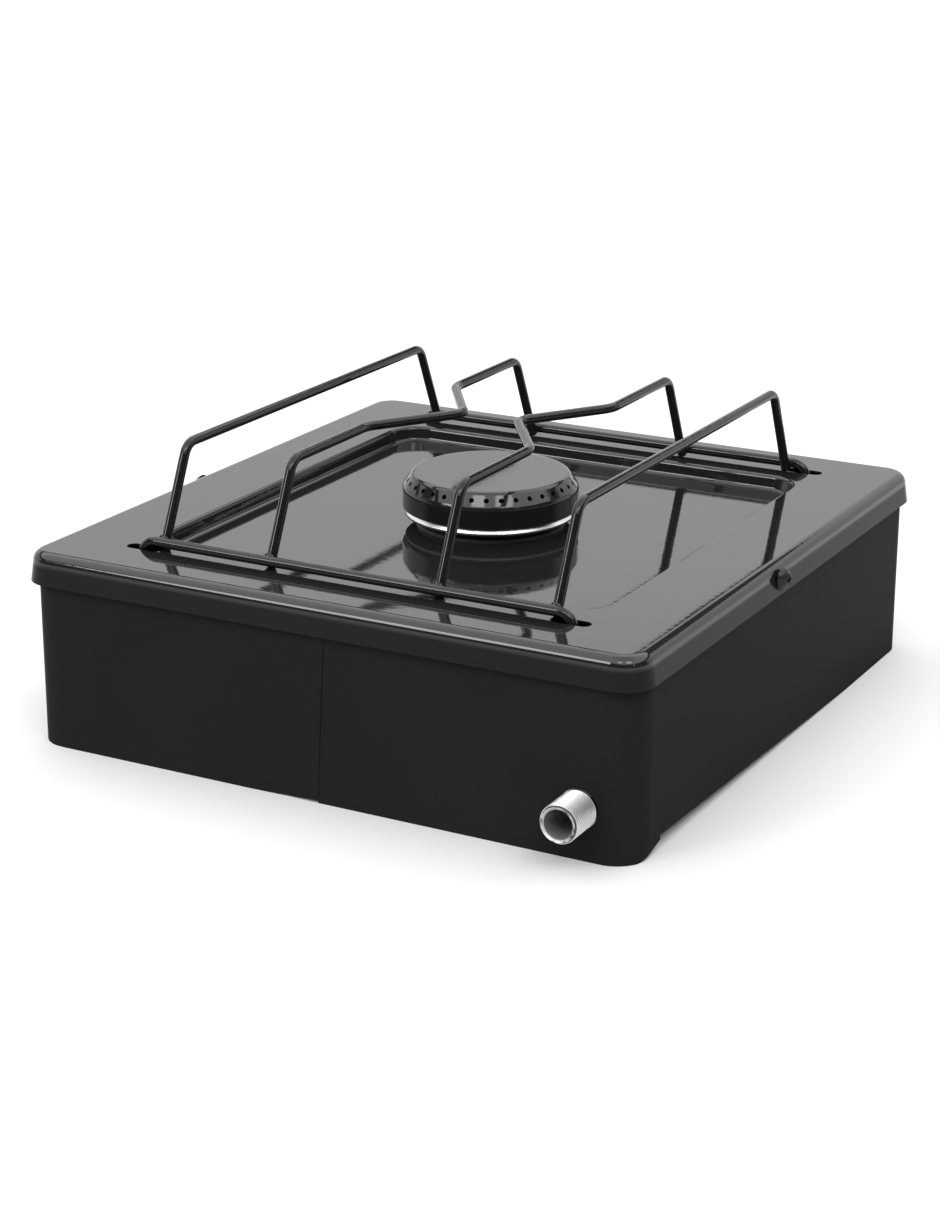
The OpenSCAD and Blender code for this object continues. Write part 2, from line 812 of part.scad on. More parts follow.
module spindle() {
    color(zinc)
    union() {
        d_bar(spindle_front_y, knob_back_y, spindle_r);
        y_rod(0, knob_back_y, spindle_back_y, tap_z, spindle_r);
    }
}

module dial_plate() {
    color(case_black)
    difference() {
        y_rod(0, wall_out_y - dial_t, wall_out_y, tap_z, dial_r);
        y_rod(0, wall_out_y - dial_t - past, wall_out_y + past, tap_z, spindle_r + spindle_hole_gap);
        for (s = [-1, 1])
            y_rod(s * tap_screw_x, wall_out_y - dial_t - past, wall_out_y + past, tap_z,
                  tap_head_r + screw_window_gap);
    }
}

module knob() {
    grip_y0 = knob_front_y;
    color(knob_black)
    difference() {
        union() {
            y_rod(0, knob_back_y - knob_skirt_t, knob_back_y, tap_z, knob_r);
            intersection() {
                y_rod(0, grip_y0, knob_back_y - knob_skirt_t + past, tap_z, knob_r - 1);
                translate([-grip_w / 2, grip_y0 - past, tap_z - knob_r])
                    cube([grip_w, inlet_l, 2 * knob_r]);
            }
        }
        d_bar(spindle_front_y, knob_back_y + past, spindle_r);
        translate([-pointer_w / 2, grip_y0 - past, tap_z + knob_r / 2])
            cube([pointer_w, past + pointer_w / 2, knob_r / 2]);
    }
}

// ---------- side screws ----------

module hob_screws() {
    cross_w = 1.4;
    cross_l = 5;
    cross_d = 2.6;
    dome_r = (pow(screw_head_d / 2, 2) + pow(screw_head_h, 2)) / (2 * screw_head_h);
    color(case_black)
    for (s = [-1, 1])
        mirror([s < 0 ? 1 : 0, 0, 0])
            difference() {
                union() {
                    translate([screw_seat_x, screw_y, screw_z])
                        rotate([0, 90, 0])
                            intersection() {
                                cylinder(h = screw_head_h, d = screw_head_d);
                                translate([0, 0, screw_head_h - dome_r])
                                    sphere(r = dome_r);
                            }
                    x_rod(screw_seat_x - screw_in, screw_seat_x + past, screw_y, screw_z, screw_r);
                }
                translate([screw_seat_x + screw_head_h, screw_y, screw_z]) {
                    cube([cross_d, cross_w, cross_l], center = true);
                    cube([cross_d, cross_l, cross_w], center = true);
                }
            }
}

// A stepped nut behind each screw: its pad bears on the flat of the wall, and its
// body stays clear of the bend above
module hob_nuts() {
    low_z = screw_z - clip_w / 2;
    pad_h = fold_z - bend_clear - low_z;
    in_x = wx - sheet - bend_clear;
    color(zinc)
    for (s = [0, 1])
        mirror([s, 0, 0])
            difference() {
                union() {
                    translate([in_x - clip_t, screw_y - clip_w / 2, low_z])
                        cube([clip_t, clip_w, clip_w]);
                    translate([in_x - clip_t, screw_y - clip_w / 2, low_z])
                        cube([clip_t + bend_clear, clip_w, pad_h]);
                }
                x_rod(in_x - clip_t - past, wx, screw_y, screw_z, screw_r);
            }
}

// ---------- pan support ----------

module bar(side) {
    y = side * bar_y;
    path = [[-bar_end_x, y, bar_end_z], [-bar_end_x, y, bar_z],
            [bar_end_x, y, bar_z], [bar_end_x, y, bar_end_z]];
    color(support_black)
    bent_rod(path, [bar_bend_r, bar_bend_r], bar_d / 2);
}

module outer_wire(x) {
    path = [[x, foot_y, foot_z], [x, crown_y, wire_z], [x, -crown_y, wire_z], [x, -foot_y, foot_z]];
    color(support_black)
    bent_rod(path, [bend_r, bend_r], wire_d / 2);
}

module inner_wire(side) {
    x = side * inner_x;
    path = [[x, foot_y, foot_z], [x, crown_y, wire_z], [x, kink_y, wire_z],
            [side * kink_x, 0, wire_z],
            [x, -kink_y, wire_z], [x, -crown_y, wire_z], [x, -foot_y, foot_z]];
    color(support_black)
    bent_rod(path, [bend_r, kink_bend_r, tip_bend_r, kink_bend_r, bend_r], wire_d / 2);
}

module rear_bar() {
    bar(1);
}

module front_bar() {
    bar(-1);
}

module outer_wire_left() {
    outer_wire(-outer_x);
}

module outer_wire_right() {
    outer_wire(outer_x);
}

module inner_wire_left() {
    inner_wire(-1);
}

module inner_wire_right() {
    inner_wire(1);
}

hob_top();
case_wall();
burner_body();
burner_nut();
mixing_tube();
gas_inlet();
inlet_bracket();
gas_pipe();
pipe_nuts();
tap_body();
tap_screws();
injector();
dial_plate();
hob_screws();
hob_nuts();
tap_plug();
spindle();
knob();
burner_cap();
rear_bar();
front_bar();
outer_wire_left();
outer_wire_right();
inner_wire_left();
inner_wire_right();
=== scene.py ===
import math

import bmesh
import bpy
from bpy.props import FloatProperty, FloatVectorProperty, IntProperty, PointerProperty
from mathutils import Matrix, Vector, noise


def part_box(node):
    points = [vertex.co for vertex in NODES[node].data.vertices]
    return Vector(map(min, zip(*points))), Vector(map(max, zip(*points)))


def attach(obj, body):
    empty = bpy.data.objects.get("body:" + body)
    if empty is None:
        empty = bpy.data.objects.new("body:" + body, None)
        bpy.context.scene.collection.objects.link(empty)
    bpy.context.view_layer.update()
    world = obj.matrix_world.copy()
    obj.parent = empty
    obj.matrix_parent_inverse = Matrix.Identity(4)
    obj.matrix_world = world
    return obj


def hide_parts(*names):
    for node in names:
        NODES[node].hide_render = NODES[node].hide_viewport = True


bl_info = {
    "name": "Camping Stove Finisher",
    "version": (1, 0, 0),
    "blender": (4, 5, 0),
    "location": "View3D > Sidebar > Stove",
    "description": "Enamels, plates and lights a one-burner camping stove around its fixed frame",
    "category": "Object",
}

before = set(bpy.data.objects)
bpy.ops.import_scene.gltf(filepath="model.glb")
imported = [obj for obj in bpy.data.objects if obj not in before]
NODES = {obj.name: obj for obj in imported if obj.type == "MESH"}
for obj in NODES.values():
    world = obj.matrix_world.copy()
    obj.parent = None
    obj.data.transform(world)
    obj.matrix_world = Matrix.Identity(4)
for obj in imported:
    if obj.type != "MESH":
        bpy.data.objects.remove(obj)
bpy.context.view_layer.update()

MM = 0.001
HOB_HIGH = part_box("hob_top")[1]
HOB_TOP = HOB_HIGH.z
FOLD_Z = HOB_TOP - 5 * MM
CASE_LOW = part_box("case_wall")[0]
INLET_LOW, INLET_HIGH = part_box("gas_inlet")
BAR_LOW, BAR_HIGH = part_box("rear_bar")
WIRE_LOW, WIRE_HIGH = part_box("outer_wire_left")
KNOB_LOW, KNOB_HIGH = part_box("knob")
DIAL_LOW, DIAL_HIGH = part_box("dial_plate")


# ---------- shader maths ----------

class Value:
    """What one socket gives. Arithmetic on it adds the Math nodes that work it out."""

    def __init__(self, finish, socket):
        self.finish = finish
        self.socket = socket

    def _maths(self, operation, *values):
        return self.finish.node("Math", {"operation": operation}, dict(enumerate(values)))

    def __add__(self, other):
        return self._maths("ADD", self, other)

    def __radd__(self, other):
        return self._maths("ADD", other, self)

    def __sub__(self, other):
        return self._maths("SUBTRACT", self, other)

    def __rsub__(self, other):
        return self._maths("SUBTRACT", other, self)

    def __mul__(self, other):
        return self._maths("MULTIPLY", self, other)

    def __rmul__(self, other):
        return self._maths("MULTIPLY", other, self)

    def __pow__(self, other):
        return self._maths("POWER", self, other)

    def __abs__(self):
        return self._maths("ABSOLUTE", self)

    def clamped(self):
        return self._maths("MINIMUM", self._maths("MAXIMUM", self, 0.0), 1.0)

    def smooth(self, low, high):
        """0 below low, 1 above high, and a soft step between them."""
        return self.finish.node(
            "MapRange",
            {"interpolation_type": "SMOOTHSTEP"},
            {"Value": self, "From Min": low, "From Max": high},
        )

    def part(self, axis):
        """One part, 0 to 2, of a vector."""
        split = self.finish.node("SeparateXYZ", {}, {"Vector": self})
        return Value(self.finish, split.socket.node.outputs[axis])

    def scaled(self, *by):
        return self.finish.node(
            "VectorMath", {"operation": "MULTIPLY"}, {0: self, 1: Vector(by)}
        )


class Finish:
    """A material being mixed: its nodes, its main shader and the place that is shaded."""

    def __init__(self, name, **constants):
        self.material = bpy.data.materials.new(name)
        self.material.use_nodes = True
        self.tree = self.material.node_tree
        self.shader = self.tree.nodes["Principled BSDF"]
        for socket, value in constants.items():
            self.shader.inputs[socket.replace("_", " ")].default_value = value
        place = self.tree.nodes.new("ShaderNodeTexCoord")
        self.place = Value(self, place.outputs["Object"])

    def node(self, kind, settings, sockets, output=0):
        """Adds a node: first its settings, then the values or links of its sockets."""
        made = self.tree.nodes.new("ShaderNode" + kind)
        for key, value in settings.items():
            setattr(made, key, value)
        for key, value in sockets.items():
            if isinstance(value, Value):
                self.tree.links.new(value.socket, made.inputs[key])
            else:
                made.inputs[key].default_value = value
        return Value(self, made.outputs[output])

    def grain(self, scale, detail, place=None):
        return self.node(
            "TexNoise",
            {"noise_dimensions": "3D"},
            {"Vector": place or self.place, "Scale": scale, "Detail": detail},
        )

    def cells(self, scale):
        return self.node("TexVoronoi", {}, {"Vector": self.place, "Scale": scale})

    def blend(self, mask, plain, marked):
        """Mixes two colours by a mask. Each is three numbers or a Value."""
        shades = [c if isinstance(c, Value) else tuple(c[:3]) + (1.0,) for c in (plain, marked)]
        return self.node(
            "Mix",
            {"data_type": "RGBA"},
            {0: mask, 6: shades[0], 7: shades[1]},
            output=2,
        )

    def set(self, socket, value):
        self.tree.links.new(value.socket, self.shader.inputs[socket])

    def relief(self, height):
        """Turns a height in metres into the surface's normal."""
        bump = self.node("Bump", {}, {"Height": height, "Distance": 1.0, "Strength": 1.0})
        self.set("Normal", bump)

    def dulled(self, mask, **constants):
        """Where the mask is 1, shows a copy of the shader with other constants."""
        copy = self.tree.nodes.new("ShaderNodeBsdfPrincipled")
        for own, other in zip(self.shader.inputs, copy.inputs):
            if own.is_linked:
                self.tree.links.new(own.links[0].from_socket, other)
            else:
                other.default_value = own.default_value
        for socket, value in constants.items():
            copy.inputs[socket.replace("_", " ")].default_value = value
        both = self.node("MixShader", {}, {0: mask})
        mix = both.socket.node
        self.tree.links.new(self.shader.outputs[0], mix.inputs[1])
        self.tree.links.new(copy.outputs[0], mix.inputs[2])
        self.tree.links.new(mix.outputs[0], self.tree.nodes["Material Output"].inputs["Surface"])

    def on(self, *pieces):
        """Puts this material in every slot of the given pieces."""
        for piece in pieces:
            thing = NODES[piece] if isinstance(piece, str) else piece
            if not thing.data.materials:
                thing.data.materials.append(self.material)
            for k in range(len(thing.data.materials)):
                thing.data.materials[k] = self.material


class Sky(Finish):
    """The room around the stove. Its place is the direction that is looked in."""

    def __init__(self, name):
        self.world = bpy.data.worlds.new(name)
        self.world.use_nodes = True
        self.tree = self.world.node_tree
        self.shader = self.tree.nodes["Background"]
        place = self.tree.nodes.new("ShaderNodeTexCoord")
        self.place = Value(self, place.outputs["Generated"])


def shade(colour, factor):
    return [min(1.0, c * factor) for c in colour[:3]]


# ---------- mesh tools ----------

def add_piece(name, mesh, finish, body, sharp=35.0):
    """Makes an object of a bmesh, smooths it, and lets it ride on its body."""
    bmesh.ops.recalc_face_normals(mesh, faces=mesh.faces)
    data = bpy.data.meshes.new(name)
    mesh.to_mesh(data)
    mesh.free()
    data.shade_smooth()
    data.set_sharp_from_angle(angle=math.radians(sharp))
    piece = bpy.data.objects.new(name, data)
    bpy.context.scene.collection.objects.link(piece)
    finish.on(piece)
    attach(piece, body)
    return piece


def ring_of(mesh, points):
    return [mesh.verts.new(p) for p in points]


def skin(mesh, rings, capped=True):
    """Joins closed rings of equally many vertices with faces, and caps both ends."""
    for a, b in zip(rings, rings[1:]):
        n = len(a)
        for i in range(n):
            mesh.faces.new((a[i], a[(i + 1) % n], b[(i + 1) % n], b[i]))
    if capped:
        mesh.faces.new(rings[0][::-1])
        mesh.faces.new(rings[-1])


# ---------- what a user may change ----------

class StoveFinishes(bpy.types.PropertyGroup):
    """Colours and surface qualities of the stove."""

    enamel: FloatVectorProperty(
        name="Enamel", description="Colour of the glossy vitreous enamel",
        subtype="COLOR", size=3, min=0, max=1, default=(0.008, 0.008, 0.0085))
    case_paint: FloatVectorProperty(
        name="Case", description="Colour of the satin enamel on the case wall",
        subtype="COLOR", size=3, min=0, max=1, default=(0.0135, 0.0132, 0.0136))
    wire_enamel: FloatVectorProperty(
        name="Wires", description="Colour of the enamel on the pan support",
        subtype="COLOR", size=3, min=0, max=1, default=(0.006, 0.006, 0.0064))
    zinc: FloatVectorProperty(
        name="Zinc", description="Colour of the zinc plating",
        subtype="COLOR", size=3, min=0, max=1, default=(0.80, 0.81, 0.82))
    alloy: FloatVectorProperty(
        name="Cast alloy", description="Colour of the burner casting",
        subtype="COLOR", size=3, min=0, max=1, default=(0.88, 0.885, 0.89))
    brass: FloatVectorProperty(
        name="Brass", description="Colour of the tap and its nuts",
        subtype="COLOR", size=3, min=0, max=1, default=(0.72, 0.50, 0.20))
    plastic: FloatVectorProperty(
        name="Knob", description="Colour of the moulded knob",
        subtype="COLOR", size=3, min=0, max=1, default=(0.010, 0.010, 0.010))
    print_white: FloatVectorProperty(
        name="Marks", description="Colour of the marks on the dial and the knob",
        subtype="COLOR", size=3, min=0, max=1, default=(0.78, 0.78, 0.75))
    enamel_gloss: FloatProperty(
        name="Enamel roughness", description="Roughness of clean enamel",
        min=0, max=1, default=0.035, subtype="FACTOR")
    ripple: FloatProperty(
        name="Ripple", description="Height of the fine ripple left when the enamel is fired",
        min=0, max=0.0001, default=0.0000105, unit="LENGTH")
    waviness: FloatProperty(
        name="Waviness", description="Height of the broad waves of the pressed sheet",
        min=0, max=0.001, default=0.00007, unit="LENGTH")


class StoveSizes(bpy.types.PropertyGroup):
    """Sizes of the details that are added around the frame."""

    weld_r: FloatProperty(
        name="Weld radius", description="Radius of the weld where a leg crosses a bar",
        min=0.002, max=0.004, default=0.003, unit="LENGTH")
    weld_depth: FloatProperty(
        name="Weld depth", description="Half thickness of the weld between leg and bar",
        min=0.0005, max=0.002, default=0.00125, unit="LENGTH")
    flutes: IntProperty(
        name="Flutes", description="Number of grip flutes around the knob's skirt",
        min=12, max=80, default=48)
    flute_depth: FloatProperty(
        name="Flute depth", description="Depth of one grip flute",
        min=0, max=0.001, default=0.00035, unit="LENGTH")
    grip_w: FloatProperty(
        name="Grip width", description="Width of the bar across the knob",
        min=0.006, max=0.014, default=0.0105, unit="LENGTH")
    knob_round: FloatProperty(
        name="Knob rounding", description="Radius of the knob's moulded edges",
        min=0.0004, max=0.002, default=0.0011, unit="LENGTH")
    mark_t: FloatProperty(
        name="Mark thickness", description="How far the dial's marks stand off the plate",
        min=0.00001, max=0.0002, default=0.00006, unit="LENGTH")


class StoveStudio(bpy.types.PropertyGroup):
    """The floor, the lights and the camera."""

    azimuth: FloatProperty(
        name="Azimuth", description="Where the camera stands; 0 looks along +Y",
        default=math.radians(208.365), subtype="ANGLE")
    elevation: FloatProperty(
        name="Elevation", description="Height of the camera above the horizon",
        default=math.radians(18.732), subtype="ANGLE")
    roll: FloatProperty(
        name="Roll", description="Tilt of the camera about its own view",
        default=math.radians(0.105), subtype="ANGLE")
    distance: FloatProperty(
        name="Distance", description="Distance of the camera from the stove's origin",
        default=1.23662, unit="LENGTH")
    aside: FloatProperty(
        name="Aside", description="How far the camera is moved to its right",
        default=-0.00927, unit="LENGTH")
    above: FloatProperty(
        name="Above", description="How far the camera is moved along its own up",
        default=0.03812, unit="LENGTH")
    lens: FloatProperty(
        name="Lens", description="Focal length for a 36 mm long side",
        default=78.256, subtype="DISTANCE_CAMERA")
    floor: FloatVectorProperty(
        name="Floor", description="Colour of the floor",
        subtype="COLOR", size=3, min=0, max=1, default=(0.60, 0.60, 0.60))
    horizon: FloatProperty(
        name="Horizon", description="Brightness of the white sweep around the stove",
        min=0, max=5, default=1.2)
    ceiling: FloatProperty(
        name="Ceiling", description="Brightness of the room above the sweep",
        min=0, max=5, default=2.5)
    gap: FloatProperty(
        name="Gap", description="Brightness of the gap between the sweep and the ceiling",
        min=0, max=5, default=0.08)
    key: FloatProperty(
        name="Key", description="Strength of all the soft lamps together",
        min=0, max=20, default=1.0)


# ---------- materials ----------

def enamel(name, colour, own, ripple=1.0, waviness=1.0, rough=0.0):
    """Fired gloss enamel: a fine ripple, broad press waves, dust, fine scratches and pinholes."""
    f = Finish(name, IOR=1.45, Specular_IOR_Level=0.5)
    dust = f.grain(1300.0, 1.0).smooth(0.72, 0.84)
    bloom = f.grain(9.0, 3.0)
    pinhole = 1 - f.cells(420.0).smooth(0.02, 0.09)
    sparse = f.grain(55.0, 0.0).smooth(0.60, 0.64)
    hole = pinhole * sparse
    scratch = f.grain(1.0, 3.0, f.place.scaled(2600.0, 45.0, 45.0)).smooth(0.66, 0.74)
    tint = f.blend(bloom, colour, shade(colour, 1.4))
    tint = f.blend(dust * 0.2, tint, shade(colour, 7.0))
    tint = f.blend(hole * 0.8, tint, shade(colour, 0.3))
    f.set("Base Color", tint)
    marks = dust * 0.1 + scratch * 0.05 + hole * 0.3
    f.set("Roughness", own.enamel_gloss + rough + bloom * 0.03 + marks)
    fine = f.grain(330.0, 1.0) * (own.ripple * ripple)
    broad = f.grain(13.0, 1.0) * (own.waviness * waviness)
    f.relief(fine + broad - hole * 0.00002)
    return f


def skirt_mask(f):
    """1 on the skirt of the hob, below its fold."""
    x, y, z = (abs(f.place.part(k)) for k in range(3))
    border, soft = 20 * MM, 1 * MM
    skirt_z, fold_z = FOLD_Z - 1.5 * MM, FOLD_Z + 0.5 * MM
    half_x, half_y = HOB_HIGH.x - border, HOB_HIGH.y - border
    beyond = (x.smooth(half_x, half_x + soft) + y.smooth(half_y, half_y + soft)).clamped()
    return beyond * (1 - z.smooth(skirt_z, fold_z))


def case_enamel(colour):
    """Satin enamel of the case wall, with an orange-peel skin, and a lower edge that is rougher and
    patchily lighter in colour.
    """
    f = Finish("case_satin_enamel", IOR=1.4, Specular_IOR_Level=0.012)
    z = f.place.part(2)
    duller_h = 25 * MM
    low = 1 - z.smooth(CASE_LOW.z, CASE_LOW.z + duller_h)
    mottle = f.grain(16.0, 4.0)
    speck = f.grain(1400.0, 0.0).smooth(0.74, 0.80)
    rub = f.grain(1.0, 3.0, f.place.scaled(60.0, 60.0, 1500.0)).smooth(0.62, 0.74)
    tint = f.blend(mottle, shade(colour, 0.85), shade(colour, 1.25))
    tint = f.blend(speck * 0.15, tint, shade(colour, 4.0))
    # the colour is patchily lighter towards the bottom of the wall
    tint = f.blend(low * mottle * 0.2, tint, shade(colour, 1.8))
    f.set("Base Color", tint)
    f.set("Roughness", 0.34 + mottle * 0.12 + rub * 0.05 + low * 0.08)
    f.relief(f.grain(700.0, 2.0) * 0.000009 + f.grain(9.0, 1.0) * 0.00025)
    return f


def wire_finish(colour):
    """Thick enamel on wire: gloss, with slow lumps along it and worn crowns where pans rest."""
    f = Finish("support_enamel", IOR=1.5, Specular_IOR_Level=0.3)
    z = f.place.part(2)
    crown_h = 0.6 * MM
    crown = z.smooth(WIRE_HIGH.z - crown_h, WIRE_HIGH.z)
    scuff = crown * f.grain(420.0, 3.0).smooth(0.50, 0.66)
    lump = f.grain(140.0, 2.0)
    speck = f.grain(1500.0, 0.0).smooth(0.72, 0.80)
    tint = f.blend(lump, colour, shade(colour, 1.6))
    tint = f.blend(scuff * 0.2 + speck * 0.08, tint, shade(colour, 9.0))
    f.set("Base Color", tint)
    f.set("Roughness", 0.05 + lump * 0.05 + scuff * 0.12 + speck * 0.06)
    f.relief(lump * 0.00006 + f.grain(700.0, 1.0) * 0.000006)
    return f


def zinc_stub(colour):
    """Bright zinc on the turned stub: lathe lines and blotches, with painted shade in the thread
    roots and a mottled painted shade down the bore.
    """
    f = Finish("bright_zinc_thread", Metallic=1.0)
    x, y, z = (f.place.part(k) for k in range(3))
    axis_x, axis_z = (INLET_LOW.x + INLET_HIGH.x) / 2, (INLET_LOW.z + INLET_HIGH.z) / 2
    across, over = x - axis_x, z - axis_z
    radius = (across * across + over * over) ** 0.5
    bore_r, lip_r = 6.35 * MM, 6.75 * MM
    root_r, crest_r = 7.75 * MM, 8.22 * MM
    mouth_y, end_y = INLET_HIGH.y - 0.9 * MM, INLET_HIGH.y - 0.3 * MM
    shaded_bore = 1 - radius.smooth(bore_r, lip_r)
    shaded_root = (1 - radius.smooth(root_r, crest_r)) * (1 - shaded_bore)
    spangle = f.cells(520.0)
    blotch = f.grain(260.0, 4.0)
    lathe = f.grain(1.0, 2.0, f.place.scaled(120.0, 6500.0, 120.0))
    tint = f.blend(spangle, colour, shade(colour, 0.86))
    # painted shade: the thread roots and the inside of the bore are darkened in colour
    tint = f.blend(shaded_root * 0.95, tint, shade(colour, 0.06))
    tint = f.blend(shaded_bore * (0.35 + blotch * 0.6), tint, (0.17, 0.175, 0.16))
    mouth = y.smooth(mouth_y, end_y) * blotch.smooth(0.35, 0.55)
    tint = f.blend(mouth * 0.7, tint, shade(colour, 1.1))
    f.set("Base Color", tint)
    f.set("Roughness", 0.26 + blotch * 0.2 + shaded_bore * 0.3 + shaded_root * 0.12)
    f.relief(lathe * 0.00001 + blotch * shaded_bore * 0.0004 + spangle * 0.00002)
    return f


def zinc_sheet(name, colour, grain=1.0):
    """Zinc-plated steel with a faint yellow passivation, rolled grain and dull patches."""
    f = Finish(name, Metallic=1.0)
    cloud = f.grain(38.0, 4.0)
    line = f.grain(1.0, 3.0, f.place.scaled(300.0, 2400.0 * grain, 300.0))
    spot = 1 - f.cells(160.0).smooth(0.05, 0.22)
    tint = f.blend(cloud, colour, (colour[0] * 0.88, colour[1] * 0.84, colour[2] * 0.70))
    tint = f.blend(spot * 0.5, tint, shade(colour, 0.55))
    f.set("Base Color", tint)
    f.set("Roughness", 0.28 + cloud * 0.2 + line * 0.08 + spot * 0.15)
    f.relief(line * 0.000008 + cloud * 0.00002)
    return f


def cast_alloy(colour):
    """Cast and faced aluminium: bright turned rim, sandy skin below, and near-black, non-metallic
    colour from under the rim down to 9 mm below the hob top.
    """
    f = Finish("faced_cast_alloy", Metallic=1.0)
    z = f.place.part(2)
    x, y = f.place.part(0), f.place.part(1)
    radius = (x * x + y * y) ** 0.5
    rim_low, rim_high = HOB_TOP - 0.9 * MM, HOB_TOP - 0.7 * MM
    neck_low, neck_high = HOB_TOP - 9 * MM, HOB_TOP - 8 * MM
    rim = z.smooth(rim_low, rim_high)
    neck = z.smooth(neck_low, neck_high) * (1 - rim)
    turned = f.node("TexNoise", {"noise_dimensions": "1D"},
                    {"W": radius * 9000.0 + z * 7000.0, "Scale": 1.0, "Detail": 1.0})
    sand = f.grain(1500.0, 3.0)
    stain = f.grain(45.0, 4.0).smooth(0.45, 0.75)
    tint = f.blend(rim, shade(colour, 0.72), colour)
    tint = f.blend(stain * 0.18, tint, (0.50, 0.46, 0.40))
    # near-black, non-metallic colour from under the rim down to 9 mm below the hob top
    tint = f.blend(neck * (0.85 + sand * 0.15), tint, (0.008, 0.008, 0.009))
    f.set("Base Color", tint)
    f.set("Metallic", 1 - neck)
    f.set("Roughness", 0.5 - rim * 0.26 + sand * 0.08 + stain * 0.06)
    f.relief(turned * rim * 0.000006 + sand * (1 - rim) * 0.00008)
    return f


def turned_brass(colour):
    """Turned brass with tool lines and a dull tarnish."""
    f = Finish("turned_brass", Metallic=1.0)
    tarnish = f.grain(70.0, 4.0)
    line = f.grain(1.0, 2.0, f.place.scaled(150.0, 5200.0, 150.0))
    spot = f.grain(600.0, 2.0).smooth(0.62, 0.75)
    tint = f.blend(tarnish, colour, (colour[0] * 0.62, colour[1] * 0.58, colour[2] * 0.62))
    tint = f.blend(spot * 0.4, tint, (0.22, 0.15, 0.07))
    f.set("Base Color", tint)
    f.set("Roughness", 0.22 + tarnish * 0.22 + spot * 0.15)
    f.relief(line * 0.000012)
    return f


def black_screw(colour):
    """Black-finished screw, burnished where a driver turned it."""
    f = Finish("black_screw", IOR=1.5, Specular_IOR_Level=0.25)
    patch = f.grain(900.0, 3.0)
    worn = f.grain(2200.0, 2.0).smooth(0.60, 0.72)
    tint = f.blend(patch, colour, shade(colour, 1.8))
    f.set("Base Color", f.blend(worn * 0.3, tint, (0.10, 0.10, 0.10)))
    f.set("Roughness", 0.24 + patch * 0.15 + worn * 0.1)
    f.relief(patch * 0.00002)
    return f


def moulded_plastic(colour):
    """Black thermoset: a fine spark texture, faint flow marks and dust."""
    f = Finish("moulded_knob", IOR=1.5, Specular_IOR_Level=0.45)
    spark = f.grain(2600.0, 2.0)
    flow = f.grain(1.0, 2.0, f.place.scaled(90.0, 90.0, 22.0))
    dust = f.grain(1700.0, 0.0).smooth(0.73, 0.80)
    tint = f.blend(flow, colour, shade(colour, 1.7))
    tint = f.blend(dust * 0.5, tint, (0.12, 0.12, 0.12))
    f.set("Base Color", tint)
    f.set("Roughness", 0.36 + spark * 0.12 + flow * 0.06)
    f.relief(spark * 0.00002)
    return f


def printed_mark(colour):
    """Screen-printed ink, slightly uneven."""
    f = Finish("mark_ink", IOR=1.45)
    uneven = f.grain(1300.0, 3.0)
    f.set("Base Color", f.blend(uneven, shade(colour, 0.86), colour))
    f.set("Roughness", 0.42 + uneven * 0.15)
    f.relief(uneven * 0.000004)
    return f


# ---------- operators: finishes of the frame's own pieces ----------

class STOVE_OT_hob(bpy.types.Operator):
    """Enamel the pressed hob"""

    bl_idname = "stove.hob"
    bl_label = "Enamel the hob"

    def execute(self, context):
        own = context.scene.stove_finishes
        gloss = enamel("hob_gloss_enamel", list(own.enamel), own)
        gloss.dulled(skirt_mask(gloss), Specular_IOR_Level=0.08)
        gloss.on("hob_top")
        return {"FINISHED"}


class STOVE_OT_case(bpy.types.Operator):
    """Paint the case wall and black the screws that hold the hob"""

    bl_idname = "stove.case"
    bl_label = "Finish the case"

    def execute(self, context):
        own = context.scene.stove_finishes
        case_enamel(list(own.case_paint)).on("case_wall")
        black_screw(shade(own.enamel, 0.9)).on("hob_screws")
        return {"FINISHED"}


class STOVE_OT_support(bpy.types.Operator):
    """Enamel the bars and wires of the pan support, and weld them"""

    bl_idname = "stove.support"
    bl_label = "Finish and weld the pan support"

    def execute(self, context):
        own, sizes = context.scene.stove_finishes, context.scene.stove_sizes
        skin_of_support = wire_finish(list(own.wire_enamel))
        wires = ("outer_wire_left", "outer_wire_right", "inner_wire_left", "inner_wire_right")
        skin_of_support.on("rear_bar", "front_bar", *wires)
        bar_r = (BAR_HIGH.y - BAR_LOW.y) / 2
        wire_r = (WIRE_HIGH.x - WIRE_LOW.x) / 2
        bar_y = (BAR_HIGH.y + BAR_LOW.y) / 2
        bar_z = BAR_HIGH.z - bar_r
        unevenness, waves, spread, flatter = 0.07, 2.1, 400, 0.94
        mesh = bmesh.new()
        for wire in wires:
            low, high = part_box(wire)
            # an inner wire's box reaches in to its kink, so its leg stands at the far side
            outer_side = high.x if abs(high.x) > abs(low.x) else low.x
            x = outer_side - math.copysign(wire_r, outer_side)
            for side in (-1, 1):
                centre = Vector((x, side * (bar_y - bar_r), bar_z))
                made = bmesh.ops.create_uvsphere(mesh, u_segments=28, v_segments=18, radius=1.0)
                for v in made["verts"]:
                    lump = 1 + unevenness * noise.noise(v.co * waves + centre * spread)
                    v.co = centre + Vector((
                        v.co.x * sizes.weld_r * lump,
                        v.co.y * sizes.weld_depth * lump,
                        v.co.z * sizes.weld_r * lump * flatter,
                    ))
        add_piece("support_welds", mesh, skin_of_support, "support", 60)
        return {"FINISHED"}


class STOVE_OT_burner(bpy.types.Operator):
    """Enamel the burner cap and face the burner casting"""

    bl_idname = "stove.burner"
    bl_label = "Finish the burner"

    def execute(self, context):
        own = context.scene.stove_finishes
        cap = enamel(
            "cap_gloss_enamel", list(own.enamel), own, ripple=1.6, waviness=0.3, rough=0.03)
        cap.on("burner_cap")
        cast_alloy(list(own.alloy)).on("burner_body", "mixing_tube")
        zinc_sheet("burner_nut_zinc", shade(own.zinc, 0.85), 0.3).on("burner_nut")
        return {"FINISHED"}


